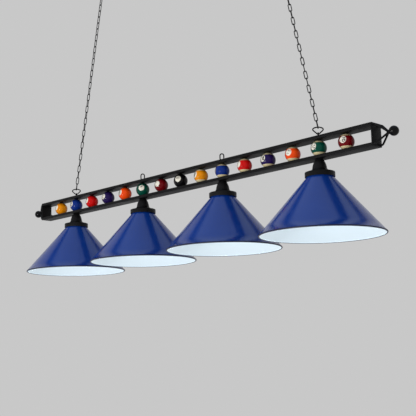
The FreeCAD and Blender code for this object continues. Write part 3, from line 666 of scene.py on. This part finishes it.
def make_holder(n, x):
    """The lampholder, with a ribbed skirt below its shoulder."""
    low_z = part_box(f"lampholder_{n}")[0].z
    mouth, barrel, groove = 17 * MM, 19.5 * MM, 19.0 * MM
    outline = [(mouth, 0), (barrel, 0)]
    for k in range(9):
        z = 4 * MM + k * 3 * MM
        outline += [(barrel, z), (groove, z + 0.9 * MM), (groove, z + 1.5 * MM), (barrel, z + 2.4 * MM)]
    shoulder, shoulder_radius = 36 * MM, 28 * MM
    outline += [(barrel, shoulder), (shoulder_radius, shoulder), (shoulder_radius, shoulder + 3 * MM)]
    crown, crown_top = 11 * MM, shoulder + 30 * MM
    outline += [(17.5 * MM, shoulder + 14 * MM), (crown, shoulder + 22 * MM), (crown, crown_top)]
    nipple, wire_bore, floor = 5 * MM, 3.6 * MM, shoulder + 24 * MM
    outline += [(nipple, crown_top), (nipple, floor), (wire_bore, floor), (wire_bore, shoulder + 10 * MM)]
    socket, socket_low = 13.3 * MM, 12 * MM
    outline += [(socket, shoulder + 10 * MM), (socket, socket_low), (mouth, socket_low)]
    bm = bmesh.new()
    lathe(bm, outline, Vector((x, 0, low_z)), 64)
    mesh = crease(mesh_from(bm, f"lampholder_{n}_body"), 35)
    new_piece(f"lampholder_{n}_body", "fixture", mesh, [HOLDER], [f"lampholder_{n}"])


def make_bulb(n, x):
    """A pear-shaped opal bulb on a plated screw base, riding on its own turning body."""
    low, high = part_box(f"bulb_{n}")
    radius = 30 * MM
    outline = [(0, 0)]
    for k in range(1, 21):
        angle = -math.pi / 2 + math.radians(122) * k / 20
        outline.append((radius * math.cos(angle), radius + radius * math.sin(angle)))
    glass_end = Vector(outline[-1])
    neck = Vector((14.5 * MM, 72 * MM))
    pull = Vector((19 * MM, 52 * MM))
    outline += curved(glass_end, pull, neck)
    outline.append((14.5 * MM, 80 * MM))
    glass_faces = len(outline) - 1
    outline.append((12.9 * MM, 80.5 * MM))
    base_top = high.z - low.z
    turns = 6
    for k in range(turns):
        z = 83 * MM + k * 4 * MM
        outline += [(12.2 * MM, z), (13 * MM, z + 1.5 * MM), (12.9 * MM, z + 2.4 * MM)]
    outline += [(12 * MM, base_top - 5 * MM), (6 * MM, base_top - 1.5 * MM)]
    outline += [(4.5 * MM, base_top), (0, base_top)]

    def paint(face, _):
        return 0 if face < glass_faces else 1

    bm = bmesh.new()
    lathe(bm, outline, Vector((x, 0, low.z)), 64, paint)
    mesh = crease(mesh_from(bm, f"bulb_{n}_glass"), 50)
    new_piece(f"bulb_{n}_glass", f"bulb_{n}", mesh, [GLASS, BASE_METAL], [f"bulb_{n}"])


# ---------------------------------------------------------------- eyes, hangers, chains, ceiling hooks
EYE_WIRE = 2.0 * MM
FACING = math.radians(45)


def make_eye(name, x, half_width, straight, angle):
    top = TOP_RAIL[1].z
    centre = top + 1 * MM + EYE_WIRE + half_width + straight / 2
    bm = bmesh.new()
    tube(bm, oval_path(half_width, straight, 16), EYE_WIRE, closed=True, sides=16)
    moved(bm, 0, Matrix.Translation((x, 0, centre)) @ Matrix.Rotation(angle, 4, "Z"))
    outline = [(0, -RAIL), (2.5 * MM, -RAIL), (2.5 * MM, 0), (4.2 * MM, 0), (4.2 * MM, 0.8 * MM)]
    outline += [(2.7 * MM, 1.2 * MM), (2.2 * MM, 3.2 * MM), (0, 3.4 * MM)]
    lathe(bm, outline, Vector((x, 0, top)), 32)
    mesh = crease(mesh_from(bm, name + "_loop"), 45)
    new_piece(name + "_loop", "fixture", mesh, [COAT], [name])


def make_hanger(name, x):
    """The triangular wire hanger, apex down, that the chain's last link holds by its top bar."""
    low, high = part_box(name)
    wire = EYE_WIRE
    half = 18 * MM - wire
    apex_z = low.z + wire
    top_z = high.z - wire
    corner = 4.5 * MM
    apex = 5.5 * MM
    bar_radius = 30 * MM
    bar_centre = Vector((0, top_z - bar_radius))
    leg_x = half - corner
    leg = Vector((leg_x, bar_centre.y + math.sqrt((bar_radius - corner) ** 2 - leg_x**2)))
    apex_centre = Vector((0, apex_z + apex))
    gap = leg - apex_centre
    slope = math.atan2(gap.y, gap.x) - math.asin((corner - apex) / gap.length)
    bar_slope = math.atan2(leg.y - bar_centre.y, leg.x)
    tangent = slope - math.pi / 2
    points = []
    for k in range(9):
        angle = tangent + (bar_slope - slope + math.pi / 2) * k / 8
        points.append(leg + corner * Vector((math.cos(angle), math.sin(angle))))
    for k in range(1, 12):
        angle = bar_slope + (math.pi - 2 * bar_slope) * k / 12
        points.append(bar_centre + bar_radius * Vector((math.cos(angle), math.sin(angle))))
    for k in range(9):
        angle = tangent + (bar_slope - slope + math.pi / 2) * (8 - k) / 8
        points.append(Vector((-leg.x, leg.y)) + corner * Vector((-math.cos(angle), math.sin(angle))))
    left = -math.pi - tangent
    for k in range(13):
        turn = left + (tangent - left) * k / 12
        points.append(apex_centre + apex * Vector((math.cos(turn), math.sin(turn))))
    bm = bmesh.new()
    tube(bm, [Vector((p.x, 0, p.y)) for p in points], wire, closed=True, sides=16)
    moved(bm, 0, Matrix.Translation((x, 0, 0)) @ Matrix.Rotation(FACING, 4, "Z"))
    mesh = mesh_from(bm, name + "_wire")
    new_piece(name + "_wire", "hangers", mesh, [COAT], [name])


LINK_COUNT = 37
LINK_WIRE = 1.5 * MM
LINK_HALF_WIDTH = 4.5 * MM
LINK_INNER = 24.6 * MM
LINK_PITCH = 24.5 * MM
HOOK_Z = -35.0 * MM
HOOK_TO_LINK = 9.55 * MM
LINK_TO_HANGER = 9.8 * MM


def add_link(bm, matrix):
    """One link: an oval of wire with a slightly thicker weld halfway down one side."""
    start = len(bm.verts)
    straight = LINK_INNER + 2 * LINK_WIRE - 2 * LINK_HALF_WIDTH
    tube(bm, oval_path(LINK_HALF_WIDTH, straight, 8), LINK_WIRE, closed=True, sides=10)
    weld = [(LINK_HALF_WIDTH, 0, -1.2 * MM), (LINK_HALF_WIDTH, 0, 0), (LINK_HALF_WIDTH, 0, 1.2 * MM)]
    tube(bm, weld, LINK_WIRE * 1.12, sides=10)
    moved(bm, start, matrix)


def make_chain(name, side):
    line = HOOK_TO_LINK + (LINK_COUNT - 1) * LINK_PITCH + LINK_TO_HANGER
    hook = Vector((PLATE_X[name], 0, HOOK_Z))
    lean = math.asin((abs(LAMP_X[3]) - abs(hook.x)) / line)
    down = Vector((side * math.sin(lean), 0, -math.cos(lean)))
    turn = Matrix.Rotation(-side * lean, 4, "Y")
    top, rest = bmesh.new(), bmesh.new()
    for n in range(LINK_COUNT):
        twist = math.radians(90) * (n + 1) + FACING * n / (LINK_COUNT - 1)
        centre = hook + down * (HOOK_TO_LINK + n * LINK_PITCH)
        add_link(rest if n else top, Matrix.Translation(centre) @ turn @ Matrix.Rotation(twist, 4, "Z"))
    short = name[0]
    new_piece(
        f"top_link_{name}_wire", f"top_link_{short}",
        mesh_from(top, f"top_link_{name}_wire"), [CHAIN_COAT], [f"top_link_{name}"],
    )
    new_piece(
        f"chain_{name}_links", f"chain_{short}",
        mesh_from(rest, f"chain_{name}_links"), [CHAIN_COAT], [f"chain_{name}"],
    )


def make_ceiling_set(name):
    """A pressed ceiling plate with two screw holes, and the ring hook through its middle."""
    x = PLATE_X[name]
    bm = bmesh.new()
    plate = 25 * MM
    outline = [(2.6 * MM, -3 * MM), (plate - 2.6 * MM, -3 * MM), (plate - 1 * MM, -2.2 * MM)]
    outline += [(plate, -0.8 * MM), (plate, 0), (2.6 * MM, 0)]
    lathe(bm, rounded(outline, 0.5 * MM, 3), Vector((x, 0, 0)), 72)
    mesh = crease(mesh_from(bm, f"ceiling_plate_{name}_disc"), 40)
    node = f"ceiling_plate_{name}"
    disc = new_piece(f"{node}_disc", "ceiling", mesh, [CEILING_COAT], [node])
    for y in (-17 * MM, 17 * MM):
        drill(disc, Vector((x, y, -1.5 * MM)), 2.5 * MM)

    bm = bmesh.new()
    ring = [
        Vector((x + 11 * MM * math.sin(TAU * k / 40), 0, -24 * MM + 11 * MM * math.cos(TAU * k / 40)))
        for k in range(40)
    ]
    tube(bm, ring, 2.5 * MM, closed=True, sides=18)
    outline = [(0, -14 * MM), (2.5 * MM, -14 * MM), (2.5 * MM, -4.8 * MM), (4.4 * MM, -4.8 * MM)]
    outline += [(5 * MM, -4.2 * MM), (5 * MM, -3.02 * MM), (2.5 * MM, -3.02 * MM), (2.5 * MM, 0), (0, 0)]
    lathe(bm, outline, Vector((x, 0, 0)), 36)
    mesh = crease(mesh_from(bm, f"ceiling_hook_{name}_ring"), 40)
    node = f"ceiling_hook_{name}"
    new_piece(f"{node}_ring", "ceiling", mesh, [CEILING_COAT], [node])


def drill(piece, centre, radius):
    """Cuts an upright round hole through a piece, and applies it."""
    bm = bmesh.new()
    outline = [(0, -6 * MM), (radius, -6 * MM), (radius, 6 * MM), (0, 6 * MM)]
    lathe(bm, outline, centre, 32)
    cutter = bpy.data.objects.new("cutter", mesh_from(bm, "cutter"))
    bpy.context.scene.collection.objects.link(cutter)
    modifier = piece.modifiers.new("hole", "BOOLEAN")
    modifier.operation = "DIFFERENCE"
    modifier.object = cutter
    modifier.solver = "EXACT"
    graph = bpy.context.evaluated_depsgraph_get()
    mesh = bpy.data.meshes.new_from_object(piece.evaluated_get(graph))
    piece.modifiers.clear()
    piece.data = mesh
    bpy.data.objects.remove(cutter)


def dress_cad_nodes():
    """The inner pieces keep their CAD shape and get a finish."""
    for node, material in (
        ("ball_pins", ZINC),
        ("threaded_nipples", ZINC),
        ("shade_rings", HOLDER),
        ("cord_grip", HOLDER),
        ("rail_leads", LEAD),
        ("lamp_leads", LEAD),
    ):
        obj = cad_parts[node]
        obj.data.materials.clear()
        obj.data.materials.append(material)


# ---------------------------------------------------------------- studio: camera, light and sky
# the sky's bands lie across this direction, which leans a little from the vertical
SKY_UP = (0.056, 0.057, 1.0)
CAMERA_PLACE = Vector((2.319, -2.115, -1.618))
CAMERA_YAW = 45.9
CAMERA_PITCH = 9.7
CAMERA_ROLL = -1.3
CAMERA_LENS = 77.8


def make_camera():
    data = bpy.data.cameras.new("camera")
    data.lens = CAMERA_LENS
    data.sensor_width = 36
    data.clip_end = 60
    camera = bpy.data.objects.new("camera", data)
    bpy.context.scene.collection.objects.link(camera)
    yaw, pitch, roll = (math.radians(v) for v in (CAMERA_YAW, CAMERA_PITCH, CAMERA_ROLL))
    turn = Matrix.Rotation(yaw, 4, "Z") @ Matrix.Rotation(math.pi / 2 + pitch, 4, "X")
    camera.matrix_world = Matrix.Translation(CAMERA_PLACE) @ turn @ Matrix.Rotation(roll, 4, "Z")
    bpy.context.scene.camera = camera


def area_light(name, place, target, size, power, colour=(1, 1, 1)):
    data = bpy.data.lights.new(name, "AREA")
    data.shape = "RECTANGLE"
    data.size, data.size_y = size
    data.energy = power
    data.color = colour
    light = bpy.data.objects.new(name, data)
    bpy.context.scene.collection.objects.link(light)
    light.location = place
    light.rotation_euler = (Vector(target) - Vector(place)).to_track_quat("-Z", "Y").to_euler()
    return light


def make_studio():
    middle = Vector((0, 0, -1.1))
    area_light("low_spark", (0.1, -3.4, -2.0), middle, (0.5, 0.42), 62)

    world = bpy.data.worlds.new("studio")
    world.use_nodes = True
    nodes, links = world.node_tree.nodes, world.node_tree.links
    coordinates = nodes.new("ShaderNodeTexCoord")
    height = nodes.new("ShaderNodeVectorMath")
    height.operation = "DOT_PRODUCT"
    links.new(coordinates.outputs["Generated"], height.inputs[0])
    height.inputs[1].default_value = SKY_UP
    pale, dark, bright = (0.578,) * 3, (0.02, 0.022, 0.03), (0.62, 0.72, 0.86)
    stops = [(0.68, pale), (0.73, dark), (0.78, dark), (0.83, bright)]
    sky = ramp(nodes, links, height.outputs["Value"], stops)
    links.new(sky.outputs["Color"], nodes["Background"].inputs["Color"])
    bpy.context.scene.world = world
    bpy.context.scene.view_settings.view_transform = "Standard"


# ---------------------------------------------------------------- the whole lamp
make_camera()
make_studio()
make_flat("top_rail", RAIL_EDGE)
make_flat("bottom_rail", RAIL_EDGE)
make_end_screws()
for end, sign in (("left", -1), ("right", 1)):
    make_flat(f"end_plate_{end}", END_PLATE_EDGE)
    make_finial(end, sign)
    make_chain(end, sign)
    make_ceiling_set(end)
for index in range(BALL_COUNT):
    make_ball(index)
make_eye("eye_outer_left", LAMP_X[0], 4.5 * MM, 2 * MM, FACING + math.pi / 2)
make_eye("eye_outer_right", LAMP_X[3], 4.5 * MM, 2 * MM, FACING + math.pi / 2)
make_eye("eye_inner_left", LAMP_X[1], 6.5 * MM, 9 * MM, FACING)
make_eye("eye_inner_right", LAMP_X[2], 6.5 * MM, 9 * MM, FACING)
make_hanger("hanger_left", LAMP_X[0])
make_hanger("hanger_right", LAMP_X[3])
for index, lamp_x in enumerate(LAMP_X, start=1):
    make_cap(index, lamp_x)
    make_shade(index, lamp_x)
    make_holder(index, lamp_x)
    make_bulb(index, lamp_x)
dress_cad_nodes()
